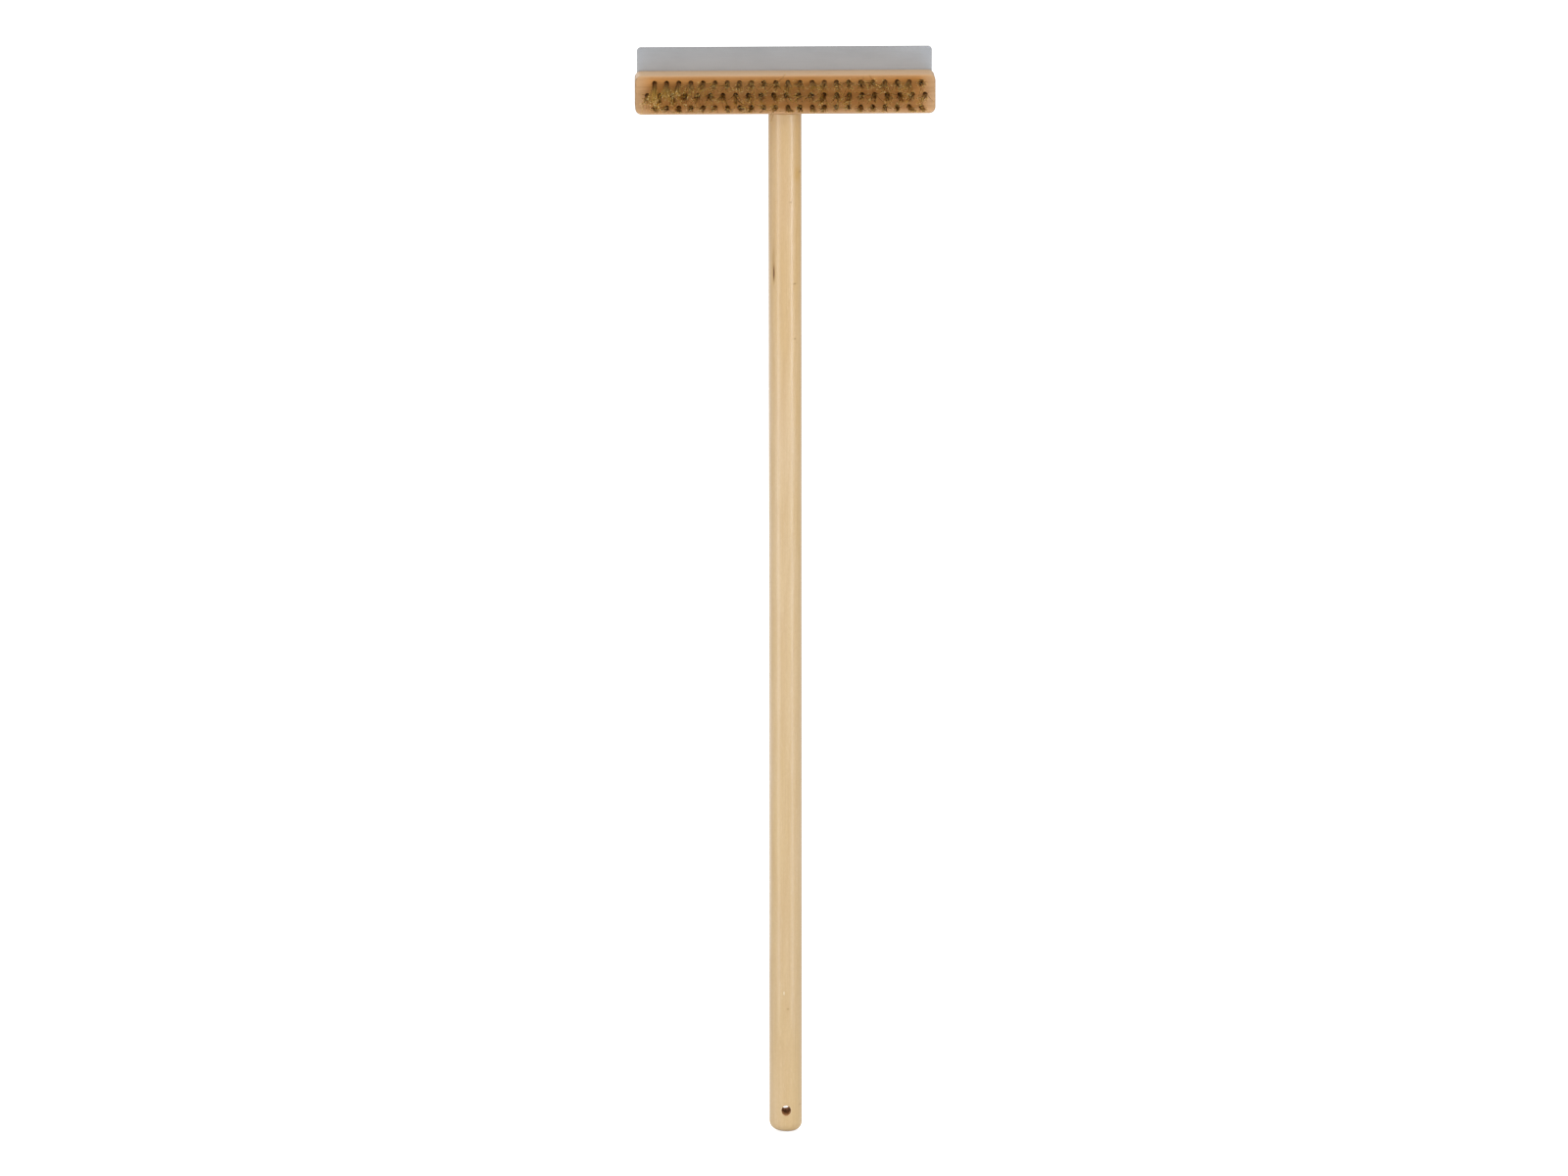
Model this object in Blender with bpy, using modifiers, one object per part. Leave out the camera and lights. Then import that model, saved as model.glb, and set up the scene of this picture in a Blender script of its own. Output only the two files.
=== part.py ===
"""A long-handled wire scrub brush with a scraper blade.

The handle stands along +Z with its flat butt on the origin. The head is a wooden block across the
handle's top: its length runs along X, its brass tufts point towards -Y, and a steel blade is screwed
to its back, on the +Y side, and stands up past its top edge. Sizes are in metres.
"""

import math

import bmesh
import bpy
from mathutils import Matrix, Vector

MM = 0.001
GAP = 0.3 * MM  # clearance between pieces that touch
MERGE = 0.01 * MM  # points nearer than this become one

# How finely round shapes are cut, and the angles in degrees under which edges are shaded smooth
ARC_STEPS = 5
PLATE_CORNER_STEPS = 5
PLATE_EDGE_STEPS = 2
PLATE_EDGE_ANGLE = 60
HANGING_HOLE_SIDES = 24
ROUND_SMOOTH = 40
PLATE_SMOOTH = 30
TUFT_SMOOTH = 50

# Handle: a round stick with a thinner tenon at its top
HANDLE_RADIUS = 14 * MM
HANDLE_LENGTH = 889 * MM  # from the butt to the block's lower edge
BUTT_ROUND = 8 * MM
TENON_RADIUS = 7 * MM
TENON_LENGTH = 24 * MM
SHOULDER_EASE = 0.6 * MM
HANGING_HOLE_RADIUS = 4 * MM
HANGING_HOLE_HEIGHT = 20 * MM
HANDLE_SIDES = 36

# Block: it stands further out of the handle's axis on the bristle side
BLOCK_LENGTH = 254 * MM
BLOCK_HEIGHT = 33.5 * MM
BLOCK_DEPTH = 28 * MM
BLOCK_FRONT = -17 * MM
BLOCK_CORNER = 5.5 * MM
BLOCK_EDGE = 1.5 * MM
BLOCK_BACK = BLOCK_FRONT + BLOCK_DEPTH
BLOCK_TOP = HANDLE_LENGTH + BLOCK_HEIGHT
BLOCK_MIDDLE = HANDLE_LENGTH + BLOCK_HEIGHT / 2

# Tufts: three rows, of which the middle one is a little longer
COLUMNS = 23
OUTER_PITCH = 10.25 * MM
MIDDLE_PITCH = 10.68 * MM
OUTER_SHIFT = 2.2 * MM
MIDDLE_SHIFT = 0.7 * MM
ROW_SPACING = 10.6 * MM
TUFT_HOLE_RADIUS = 2.1 * MM
TUFT_HOLE_DEPTH = 8.5 * MM
TUFT_HOLE_SIDES = 10
TUFT_ROOT_RADIUS = 1.75 * MM
TUFT_TIP_RADIUS = 4.5 * MM
TUFT_LENGTH = 30 * MM  # from the block's face to the wires' tips
TUFT_CROWN = 1 * MM  # how far the middle of a tuft's end stands past its rim
TUFT_FLARE_POWER = 1.4  # over 1, so that a tuft opens mostly towards its tips
TUFT_FLARE_STEPS = 2
TUFT_SIDES = 8
LINK_RADIUS = 1.5 * MM
LINK_HEIGHT = 25 * MM  # how far above the face neighbouring tufts tangle

# Blade
BLADE_LENGTH = 250 * MM
BLADE_HEIGHT = 38 * MM
BLADE_THICKNESS = 1 * MM
BLADE_EXPOSED = 20 * MM
BLADE_TOP_CORNER = 3.3 * MM
BLADE_LOW_CORNER = 1 * MM
BLADE_FRONT = BLOCK_BACK + GAP
BLADE_TOP = BLOCK_TOP + BLADE_EXPOSED

# Screws
SCREW_RADIUS = 1.75 * MM
SCREW_HOLE_RADIUS = 2.1 * MM
SCREW_TIP = 3 * MM
SCREW_SIDES = 14
ROUND_HEAD_RADIUS = 3.5 * MM
ROUND_HEAD_HEIGHT = 2.2 * MM
BLADE_SCREW_LENGTH = 13 * MM
BLADE_SCREW_DROP = 9 * MM  # below the block's top edge
BLADE_SCREW_PLACES = (-100 * MM, -34 * MM, 34 * MM, 100 * MM)
FLAT_HEAD_HEIGHT = 2 * MM
HANDLE_SCREW_LENGTH = 16 * MM
HANDLE_SCREW_RISE = 9 * MM  # above the block's lower edge
CROSS_LENGTH = 3.6 * MM
CROSS_WIDTH = 0.8 * MM
CROSS_DEPTH = 1.1 * MM

TO_BACK = Matrix.Rotation(-math.pi / 2, 4, "X")  # turns local +Z to world +Y


def clear_scene():
    for old in list(bpy.data.objects):
        bpy.data.objects.remove(old, do_unlink=True)


def new_collection(name):
    made = bpy.data.collections.new(name)
    bpy.context.scene.collection.children.link(made)
    return made


def new_material(name, colour, roughness, metallic):
    made = bpy.data.materials.new(name)
    made.use_nodes = True
    shader = made.node_tree.nodes["Principled BSDF"]
    shader.inputs["Base Color"].default_value = (*colour, 1)
    shader.inputs["Roughness"].default_value = roughness
    shader.inputs["Metallic"].default_value = metallic
    return made


def new_object(name, mesh, home, material=None):
    made = bpy.data.objects.new(name, mesh)
    home.objects.link(made)
    if material:
        mesh.materials.append(material)
    return made


def hide(cutter):
    cutter.hide_render = True
    cutter.display_type = "WIRE"
    return cutter


def mesh_of(bm, name):
    mesh = bpy.data.meshes.new(name)
    bm.to_mesh(mesh)
    bm.free()
    return mesh


def arc(centre, radius, start, end, steps):
    """Points of an arc in the profile plane, as (radius from the axis, height). Angles are in degrees."""
    points = []
    for i in range(steps + 1):
        angle = math.radians(start + (end - start) * i / steps)
        points.append((centre[0] + radius * math.cos(angle), centre[1] + radius * math.sin(angle)))
    return points


def turned(name, profile, sides, home, material=None):
    """A solid of revolution about local Z. The profile runs from its top down its outer side."""
    mesh = bpy.data.meshes.new(name)
    points = [(radius, 0, height) for radius, height in profile]
    mesh.from_pydata(points, [(i, i + 1) for i in range(len(points) - 1)], [])
    made = new_object(name, mesh, home, material)
    screw = made.modifiers.new("Turn", "SCREW")
    screw.steps = sides
    screw.render_steps = sides
    screw.use_merge_vertices = True
    screw.merge_threshold = MERGE
    return made


def add_cylinder(bm, radius, start, end, sides):
    """A closed cylinder between two points, added to a bmesh."""
    start = Vector(start)
    run = Vector(end) - start
    turn = Vector((0, 0, 1)).rotation_difference(run).to_matrix().to_4x4()
    place = Matrix.Translation(start + run / 2) @ turn
    bmesh.ops.create_cone(
        bm, cap_ends=True, segments=sides, radius1=radius, radius2=radius, depth=run.length, matrix=place
    )


def cylinders(name, radius, runs, sides, home):
    """One hidden cutter of separate cylinders, each given by its two ends."""
    bm = bmesh.new()
    for start, end in runs:
        add_cylinder(bm, radius, start, end, sides)
    return hide(new_object(name, mesh_of(bm, name), home))


def plate(name, size, centre, corners, home, material):
    """A box whose edges along Y are rounded. corners holds the radius at the low and at the top edges."""
    bm = bmesh.new()
    bmesh.ops.create_cube(bm, size=1, matrix=Matrix.Translation(centre) @ Matrix.Diagonal((*size, 1)))
    for radius, upper in zip(corners, (False, True)):
        edges = []
        for edge in bm.edges:
            low, high = (end.co for end in edge.verts)
            along_y = abs(low.y - high.y) > size[1] / 2
            if along_y and (low.z > centre[2]) == upper:
                edges.append(edge)
        steps = PLATE_CORNER_STEPS
        bmesh.ops.bevel(bm, geom=edges, offset=radius, segments=steps, profile=0.5, affect="EDGES")
    return new_object(name, mesh_of(bm, name), home, material)


def boolean(target, other, operation):
    step = target.modifiers.new(other.name, "BOOLEAN")
    step.operation = operation
    step.object = other


def finish_round(piece, angle):
    """Applies the modifiers and shades the piece smooth, with edges sharper than the angle left sharp."""
    graph = bpy.context.evaluated_depsgraph_get()
    mesh = bpy.data.meshes.new_from_object(piece.evaluated_get(graph))
    mesh.name = piece.name
    piece.modifiers.clear()
    piece.data = mesh
    mesh.shade_smooth()
    mesh.set_sharp_from_angle(angle=math.radians(angle))


def tuft_places(column):
    """(x, z) of the column's three holes on the block's face, from the top row to the lowest."""
    step = column - (COLUMNS - 1) / 2
    outer = OUTER_SHIFT + step * OUTER_PITCH
    middle = MIDDLE_SHIFT + step * MIDDLE_PITCH
    return [
        (outer, BLOCK_MIDDLE + ROW_SPACING),
        (middle, BLOCK_MIDDLE),
        (outer, BLOCK_MIDDLE - ROW_SPACING),
    ]


def make_handle(home, cutters, material):
    shoulder = HANDLE_LENGTH - GAP
    tenon_top = shoulder + TENON_LENGTH
    profile = [(0, tenon_top), (TENON_RADIUS - SHOULDER_EASE, tenon_top)]
    profile += [(TENON_RADIUS, tenon_top - SHOULDER_EASE), (TENON_RADIUS, shoulder)]
    profile += [(HANDLE_RADIUS - SHOULDER_EASE, shoulder), (HANDLE_RADIUS, shoulder - SHOULDER_EASE)]
    profile += arc((HANDLE_RADIUS - BUTT_ROUND, BUTT_ROUND), BUTT_ROUND, 0, -90, ARC_STEPS)
    profile += [(0, 0)]
    handle = turned("handle", profile, HANDLE_SIDES, home, material)
    reach = 1.5 * HANDLE_RADIUS
    across = ((0, -reach, HANGING_HOLE_HEIGHT), (0, reach, HANGING_HOLE_HEIGHT))
    bore = cylinders("hanging_hole", HANGING_HOLE_RADIUS, [across], HANGING_HOLE_SIDES, cutters)
    boolean(handle, bore, "DIFFERENCE")
    height = HANDLE_LENGTH + HANDLE_SCREW_RISE
    blind = ((0, BLOCK_BACK - HANDLE_SCREW_LENGTH - GAP, height), (0, BLOCK_BACK, height))
    boolean(handle, cylinders("tenon_hole", SCREW_HOLE_RADIUS, [blind], SCREW_SIDES, cutters), "DIFFERENCE")
    finish_round(handle, ROUND_SMOOTH)
    return handle


def make_block(home, cutters, material):
    size = (BLOCK_LENGTH, BLOCK_DEPTH, BLOCK_HEIGHT)
    centre = (0, BLOCK_FRONT + BLOCK_DEPTH / 2, BLOCK_MIDDLE)
    block = plate("head_block", size, centre, (BLOCK_CORNER, BLOCK_CORNER), home, material)
    rim = block.modifiers.new("Rim", "BEVEL")
    rim.width = BLOCK_EDGE
    rim.segments = PLATE_EDGE_STEPS
    rim.limit_method = "ANGLE"
    rim.angle_limit = math.radians(PLATE_EDGE_ANGLE)
    boolean(block, make_tuft_holes(cutters), "DIFFERENCE")
    start = (0, 0, HANDLE_LENGTH - TENON_LENGTH)
    end = (0, 0, HANDLE_LENGTH + TENON_LENGTH + GAP)
    socket = cylinders("handle_socket", TENON_RADIUS + GAP, [(start, end)], HANDLE_SIDES, cutters)
    boolean(block, socket, "DIFFERENCE")
    boolean(block, blade_screw_holes("block_screw_holes", cutters), "DIFFERENCE")
    boolean(block, handle_screw_hole(cutters), "DIFFERENCE")
    finish_round(block, PLATE_SMOOTH)
    return block


def make_tuft_holes(cutters):
    outside = BLOCK_FRONT - TUFT_HOLE_DEPTH / 2
    bottom = BLOCK_FRONT + TUFT_HOLE_DEPTH
    runs = []
    for column in range(COLUMNS):
        for x, z in tuft_places(column):
            runs.append(((x, outside, z), (x, bottom, z)))
    return cylinders("tuft_holes", TUFT_HOLE_RADIUS, runs, TUFT_HOLE_SIDES, cutters)


def blade_screw_holes(name, cutters):
    """Blind holes through the blade and into the block's back."""
    height = BLOCK_TOP - BLADE_SCREW_DROP
    outside = BLADE_FRONT + BLADE_THICKNESS + GAP
    bottom = outside - BLADE_SCREW_LENGTH - GAP
    runs = [((x, bottom, height), (x, outside, height)) for x in BLADE_SCREW_PLACES]
    return cylinders(name, SCREW_HOLE_RADIUS, runs, SCREW_SIDES, cutters)


def make_blade(home, cutters, material):
    size = (BLADE_LENGTH, BLADE_THICKNESS, BLADE_HEIGHT)
    centre = (0, BLADE_FRONT + BLADE_THICKNESS / 2, BLADE_TOP - BLADE_HEIGHT / 2)
    blade = plate("scraper_blade", size, centre, (BLADE_LOW_CORNER, BLADE_TOP_CORNER), home, material)
    boolean(blade, blade_screw_holes("blade_screw_holes", cutters), "DIFFERENCE")
    finish_round(blade, PLATE_SMOOTH)
    return blade


def cross_recess(name, head_top, place, cutters):
    """The cutter of a cross-shaped driver recess, with its open end above the screw's head."""
    bm = bmesh.new()
    middle = Matrix.Translation((0, 0, head_top))
    for turn in (0, math.pi / 2):
        size = Matrix.Diagonal((CROSS_LENGTH, CROSS_WIDTH, 2 * CROSS_DEPTH, 1))
        bmesh.ops.create_cube(bm, size=1, matrix=middle @ Matrix.Rotation(turn, 4, "Z") @ size)
    cutter = hide(new_object(name, mesh_of(bm, name), cutters))
    cutter.matrix_world = place
    return cutter


def shank(length):
    """The lower part of a wood screw's profile, from its neck to its point."""
    return [(SCREW_RADIUS, SCREW_TIP - length), (0, -length)]


def finish_screw(screw, head_top, place, cutters):
    screw.matrix_world = place
    cutter = cross_recess(screw.name + "_recess", head_top, place, cutters)
    boolean(screw, cutter, "DIFFERENCE")
    screw.modifiers[cutter.name].use_self = True
    finish_round(screw, ROUND_SMOOTH)


def make_blade_screw(number, home, cutters, material):
    """A round-head wood screw. Its own origin is under its head, and its axis is +Z before it is placed."""
    dome = (ROUND_HEAD_RADIUS**2 + ROUND_HEAD_HEIGHT**2) / (2 * ROUND_HEAD_HEIGHT)
    centre = (0, ROUND_HEAD_HEIGHT - dome)
    lowest = math.degrees(math.asin((dome - ROUND_HEAD_HEIGHT) / dome))
    profile = [(0, ROUND_HEAD_HEIGHT)] + arc(centre, dome, 90, lowest, ARC_STEPS)[1:]
    profile += [(SCREW_RADIUS, 0)] + shank(BLADE_SCREW_LENGTH)
    screw = turned(f"scraper_screw_{number}", profile, SCREW_SIDES, home, material)
    back = BLADE_FRONT + BLADE_THICKNESS + GAP
    at = Vector((BLADE_SCREW_PLACES[number - 1], back, BLOCK_TOP - BLADE_SCREW_DROP))
    finish_screw(screw, ROUND_HEAD_HEIGHT, Matrix.Translation(at) @ TO_BACK, cutters)
    return screw


def handle_screw_place():
    at = Vector((0, BLOCK_BACK, HANDLE_LENGTH + HANDLE_SCREW_RISE))
    return Matrix.Translation(at) @ TO_BACK


def handle_screw_hole(cutters):
    """A countersunk hole through the block's back wall, into the handle's socket."""
    wide = ROUND_HEAD_RADIUS + GAP
    profile = [(0, TENON_RADIUS), (wide, TENON_RADIUS), (wide, 0)]
    profile += [(SCREW_HOLE_RADIUS, -FLAT_HEAD_HEIGHT), (SCREW_HOLE_RADIUS, -BLOCK_BACK), (0, -BLOCK_BACK)]
    hole = hide(turned("handle_screw_hole", profile, SCREW_SIDES, cutters))
    hole.matrix_world = handle_screw_place()
    return hole


def make_handle_screw(home, cutters, material):
    """A countersunk wood screw through the block's back into the handle's tenon."""
    profile = [(0, 0), (ROUND_HEAD_RADIUS, 0), (SCREW_RADIUS, -FLAT_HEAD_HEIGHT)]
    profile += shank(HANDLE_SCREW_LENGTH)
    screw = turned("handle_screw", profile, SCREW_SIDES, home, material)
    finish_screw(screw, 0, handle_screw_place(), cutters)
    return screw


def tuft_mesh(cutters):
    """One tuft, about its own +Z with its root below the origin: straight in its hole, then flaring."""
    root = TUFT_HOLE_DEPTH - GAP
    spread = TUFT_TIP_RADIUS - TUFT_ROOT_RADIUS
    profile = [(0, TUFT_LENGTH)]
    for i in range(TUFT_FLARE_STEPS, -1, -1):
        share = i / TUFT_FLARE_STEPS
        radius = TUFT_ROOT_RADIUS + spread * share**TUFT_FLARE_POWER
        profile.append((radius, (TUFT_LENGTH - TUFT_CROWN) * share))
    profile += [(TUFT_ROOT_RADIUS, -root), (0, -root)]
    pattern = hide(turned("tuft_pattern", profile, TUFT_SIDES, cutters))
    graph = bpy.context.evaluated_depsgraph_get()
    return bpy.data.meshes.new_from_object(pattern.evaluated_get(graph))


def make_link(name, places, cutters):
    """The band where a column's splayed wires cross, from tuft to tuft near their tips."""
    curve = bpy.data.curves.new(name, "CURVE")
    curve.dimensions = "3D"
    curve.bevel_depth = LINK_RADIUS
    curve.bevel_resolution = 1
    curve.use_fill_caps = True
    line = curve.splines.new("POLY")
    line.points.add(len(places) - 1)
    for point, (x, z) in zip(line.points, places):
        point.co = (x, BLOCK_FRONT - LINK_HEIGHT, z, 1)
    guide = new_object(name + "_guide", curve, cutters)
    graph = bpy.context.evaluated_depsgraph_get()
    bm = bmesh.new()
    bm.from_mesh(bpy.data.meshes.new_from_object(guide.evaluated_get(graph)))
    bpy.data.objects.remove(guide, do_unlink=True)
    bmesh.ops.remove_doubles(bm, verts=bm.verts, dist=MERGE)
    bmesh.ops.recalc_face_normals(bm, faces=bm.faces)
    return hide(new_object(name, mesh_of(bm, name), cutters))


def make_tuft_column(column, pattern, home, cutters, material):
    to_front = Matrix.Rotation(math.pi / 2, 4, "X")  # turns local +Z to world -Y
    name = f"tuft_column_{column + 1:02d}"
    places = tuft_places(column)
    bm = bmesh.new()
    for x, z in places:
        tuft = bmesh.new()
        tuft.from_mesh(pattern)
        tuft.transform(Matrix.Translation((x, BLOCK_FRONT, z)) @ to_front)
        single = mesh_of(tuft, "tuft")
        bm.from_mesh(single)
        bpy.data.meshes.remove(single)
    made = new_object(name, mesh_of(bm, name), home, material)
    boolean(made, make_link(name + "_link", places, cutters), "UNION")
    finish_round(made, TUFT_SMOOTH)
    return made


def main():
    clear_scene()
    brush = new_collection("wire_scrub_brush")
    cutters = new_collection("cutters")
    pale_wood = new_material("pale_wood", (0.66, 0.47, 0.27), 0.5, 0)
    block_wood = new_material("block_wood", (0.50, 0.32, 0.17), 0.6, 0)
    brass = new_material("brass", (0.70, 0.48, 0.16), 0.35, 1)
    blade_steel = new_material("blade_steel", (0.42, 0.42, 0.42), 0.45, 1)
    zinc_steel = new_material("zinc_steel", (0.62, 0.63, 0.64), 0.3, 1)
    make_handle(brush, cutters, pale_wood)
    make_block(brush, cutters, block_wood)
    make_blade(brush, cutters, blade_steel)
    for number in range(1, len(BLADE_SCREW_PLACES) + 1):
        make_blade_screw(number, brush, cutters, zinc_steel)
    make_handle_screw(brush, cutters, zinc_steel)
    pattern = tuft_mesh(cutters)
    for column in range(COLUMNS):
        make_tuft_column(column, pattern, brush, cutters, brass)


main()
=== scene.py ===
"""Looks of a long-handled wire scrub brush with a scraper blade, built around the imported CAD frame.

The handle stands along +Z on its butt, the block lies across its top along X, the brass tufts point
towards -Y and the blade is on the +Y side. Everything is in metres, in the frame of the CAD model.
"""

import math
import random

import bmesh
import bpy
from mathutils import Matrix, Vector


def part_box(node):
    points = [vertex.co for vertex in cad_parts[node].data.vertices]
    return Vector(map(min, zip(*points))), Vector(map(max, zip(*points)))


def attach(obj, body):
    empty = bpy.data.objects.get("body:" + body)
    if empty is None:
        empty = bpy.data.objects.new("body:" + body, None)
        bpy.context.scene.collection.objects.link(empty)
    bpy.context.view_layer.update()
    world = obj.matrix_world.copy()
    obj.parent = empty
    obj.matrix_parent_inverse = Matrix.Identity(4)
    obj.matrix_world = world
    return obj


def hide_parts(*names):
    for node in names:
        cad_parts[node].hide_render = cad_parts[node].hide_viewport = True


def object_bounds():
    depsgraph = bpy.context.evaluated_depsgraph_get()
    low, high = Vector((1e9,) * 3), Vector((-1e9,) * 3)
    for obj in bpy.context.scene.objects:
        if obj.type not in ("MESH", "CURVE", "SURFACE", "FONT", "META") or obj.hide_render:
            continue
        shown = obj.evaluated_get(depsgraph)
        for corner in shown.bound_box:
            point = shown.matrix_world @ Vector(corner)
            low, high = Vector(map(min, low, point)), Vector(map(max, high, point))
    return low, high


MM = 0.001
SEED = 7
ON_AXIS = 1e-7  # a turned profile's point nearer than this to the axis lies on it
ROUND_SMOOTH = 35  # degrees up to which turned pieces are shaded smooth
PLATE_SMOOTH = 30

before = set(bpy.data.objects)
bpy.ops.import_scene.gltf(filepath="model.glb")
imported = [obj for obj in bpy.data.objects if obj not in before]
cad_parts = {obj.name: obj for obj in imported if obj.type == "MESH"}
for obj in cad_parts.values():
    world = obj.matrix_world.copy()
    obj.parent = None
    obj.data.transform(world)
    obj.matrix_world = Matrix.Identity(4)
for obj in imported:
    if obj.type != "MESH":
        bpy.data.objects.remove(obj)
cad_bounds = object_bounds()

# Handle
HANDLE_SIDES = 96
HANDLE_RINGS = 24
BUTT_ROUND = 8 * MM
BUTT_STEPS = 14
BUTT_SLANT = math.radians(2.2)  # the end is sanded a little out of square
BUTT_SLANT_REACH = 22 * MM
TENON_RADIUS = 7 * MM
TENON_LENGTH = 24 * MM
TENON_SIDES = 64
EASE = 0.6 * MM
HANGING_HOLE_RADIUS = 4 * MM
HANGING_HOLE_HEIGHT = 20 * MM
HANGING_HOLE_SIDES = 48
COUNTERSINK = 0.7 * MM
LIP_RADIUS = 2.5 * COUNTERSINK  # the rounding where the hanging hole meets the surface
LIP_DEPTH = 1.9 * COUNTERSINK  # how far under the surface the rounding ends
LIP_STEPS = 8
PILOT_START = 20 * MM  # the handle's pilot hole is drilled towards -Y from here, outside the wood

# Block
BLOCK_CORNER = 5.5 * MM
BLOCK_EDGE = 1.9 * MM
BLOCK_EDGE_STEPS = 5
TUFT_HOLE_RADIUS = 1.9 * MM
TUFT_HOLE_DEPTH = 8.5 * MM
TUFT_HOLE_CONE = 1.2 * MM  # the drill's point
TUFT_HOLE_SIDES = 20
MOUTH_FLARE = 0.12 * MM
MOUTH_DEPTH = 1.6 * MOUTH_FLARE
ROOT_END = 0.2 * MM  # points this near to a tuft's deepest one belong to the ends of its roots
GAP = 0.3 * MM
CLEAR = 3 * MM  # cutters start this far outside the surface they cut

# Blade
BLADE_TOP_CORNER = 3.3 * MM
BLADE_LOW_CORNER = 1 * MM
BLADE_EDGE = 0.18 * MM
BLADE_EDGE_STEPS = 3

# Rounded plates
CORNER_STEPS = 10
RIM_ANGLE = math.radians(60)  # edges sharper than this are softened

# Screws
SCREW_RADIUS = 1.75 * MM
SCREW_CORE = 1.25 * MM
SCREW_NECK = 1.2 * MM
SCREW_TIP = 3 * MM
SCREW_POINT = 0.02 * MM
THREAD_PITCH = 1.3 * MM
THREAD_SIDES = 32
THREAD_STEPS = 12  # rings to a turn
THREAD_START = 10  # rings over which the ridge rises
THREAD_STEEPNESS = 3.2  # over 2, so that there is a flat between the ridges
SHANK_OVERLAP = 0.4 * MM  # how far the threads reach up into the neck
SCREW_HOLE_RADIUS = 2.1 * MM
SCREW_HOLE_SIDES = 32
SCRAPER_SCREWS = [f"scraper_screw_{i}" for i in range(1, 5)]
ROUND_HEAD_RADIUS = 3.5 * MM
ROUND_HEAD_HEIGHT = 2.2 * MM
ROUND_HEAD_STEPS = 12
FLAT_HEAD_HEIGHT = 2 * MM
HEAD_SIDES = 48
CROSS_LENGTH = 3.6 * MM
CROSS_WIDTH = 0.8 * MM
CROSS_DEPTH = 1.1 * MM

# Tufts
COLUMNS = 23
HAIRPINS = 22  # wires in a tuft, each folded in two
WIRE_RADIUS = 0.16 * MM
WIRE_SIDES = 5
LEG_POINTS = 11
LENGTH_SHARES = (0.90, 1.02)
ROOT_SPREAD = 1.7 * MM
ROOT_PAIR = 0.4 * MM  # how far apart the two halves of a wire stand
ANCHOR_DEPTH = TUFT_HOLE_DEPTH - 1.2 * MM
ANCHOR_BEND = 1 * MM
CRIMP_HEIGHT = 0.16 * MM
CRIMP_LENGTH = 4.6 * MM
CRIMP_RISE = 4  # the crimp is at its full height a quarter of the way up
STRAY_SHARE = 0.07
STRAY_SPLAY = 0.17
SPLAY = (0.048, 0.066, 0.070)  # from the lowest row up
FAN = 0.06  # the outer wires of a tuft lean outwards
STRAIGHTNESS = 0.35  # 1 for a straight wire, less for one that bends further towards its tip
TUFT_LEAN = (-0.05, 0.05)  # sideways: mean and spread
LIFT = (0.09, 0.01, 0.0)  # upwards, from the lowest row up
LIFT_SPREAD = 0.04
DROOP = (0.02, 0.06, 0.38)  # how far the first columns are swept down, from the lowest row up
DROOP_SHARE = 0.20  # of the block's length, from its left end
DROOP_SIDEWAYS = 0.08
SPOT_REACH = 5.2 * MM  # half of the space between two columns
HANGING_SPOT = -8 * MM  # a wire of the lowest row hangs down over the handle here
HANGING_WAY = (-0.06, -0.20)
RAISED_SPOT = 66 * MM  # some wires of the highest row stand up over the block's top here
RAISED_WAY = (0.20, 0.27)
RAISED_WIRES = 3
LOWEST_DROP = 0.2 * MM  # no other tip hangs further than this under the lowest row of holes
END_MARGIN = 4 * MM  # nor comes nearer than this to the block's ends

# Colours, in linear light. A tint multiplies the colour under it, and a tone covers it.
HANDLE_TONES = {
    "pale": (0.750, 0.552, 0.320, 1),
    "warm": (0.710, 0.506, 0.252, 1),
    "late_wood": (0.62, 0.41, 0.195, 1),
    "strand": (0.60, 0.405, 0.20, 1),
    "fibre": (0.56, 0.38, 0.19, 1),
    "mottle": (0.62, 0.42, 0.21, 1),
    "fleck": (0.84, 0.66, 0.44, 1),
    "knot_halo": (0.52, 0.32, 0.13, 1),
    "knot_heart": (0.30, 0.145, 0.045, 1),
    "end_grain": (0.50, 0.33, 0.17, 1),
    # painted highlight on the hanging hole's rounded lip
    "hole_lip_highlight": (0.88, 0.72, 0.50, 1),
}
HANDLE_TINTS = {
    "head_end": (0.985, 0.935, 0.86, 1),
    "golden_side": (0.98, 0.94, 0.78, 1),
    "smudge": (0.92, 0.84, 0.58, 1),
    "grip_end": (1.07, 1.08, 1.09, 1),
}
BLOCK_TONES = {
    "pale": (0.665, 0.425, 0.230, 1),
    "warm": (0.62, 0.385, 0.195, 1),
    "late_wood": (0.50, 0.285, 0.12, 1),
    "strand": (0.50, 0.285, 0.125, 1),
    "fibre": (0.45, 0.255, 0.11, 1),
    "pore": (0.33, 0.17, 0.07, 1),
    "end_grain": (0.42, 0.25, 0.12, 1),
    "end_band": (0.26, 0.13, 0.05, 1),
    "end_cell": (0.24, 0.12, 0.05, 1),
    # painted shade on faces that look down
    "underside_shade": (0.42, 0.25, 0.12, 1),
    # painted sheen on faces that look up
    "upper_side_sheen": (0.67, 0.48, 0.31, 1),
}
BLOCK_TINTS = {
    # painted shade and painted warm brass reflection on the face between the tufts
    "tuft_shade": (0.97, 0.66, 0.25, 1),
    # painted light on the face's lower margin
    "lower_edge_light": (1.16, 1.15, 1.16, 1),
}
BLADE_TONES = {
    "dark": (0.436, 0.446, 0.460, 1),
    "light": (0.456, 0.466, 0.480, 1),
    "smudge": (0.37, 0.378, 0.39, 1),
    "speck": (0.25, 0.25, 0.25, 1),
    "edge": (0.25, 0.25, 0.255, 1),
}
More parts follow.
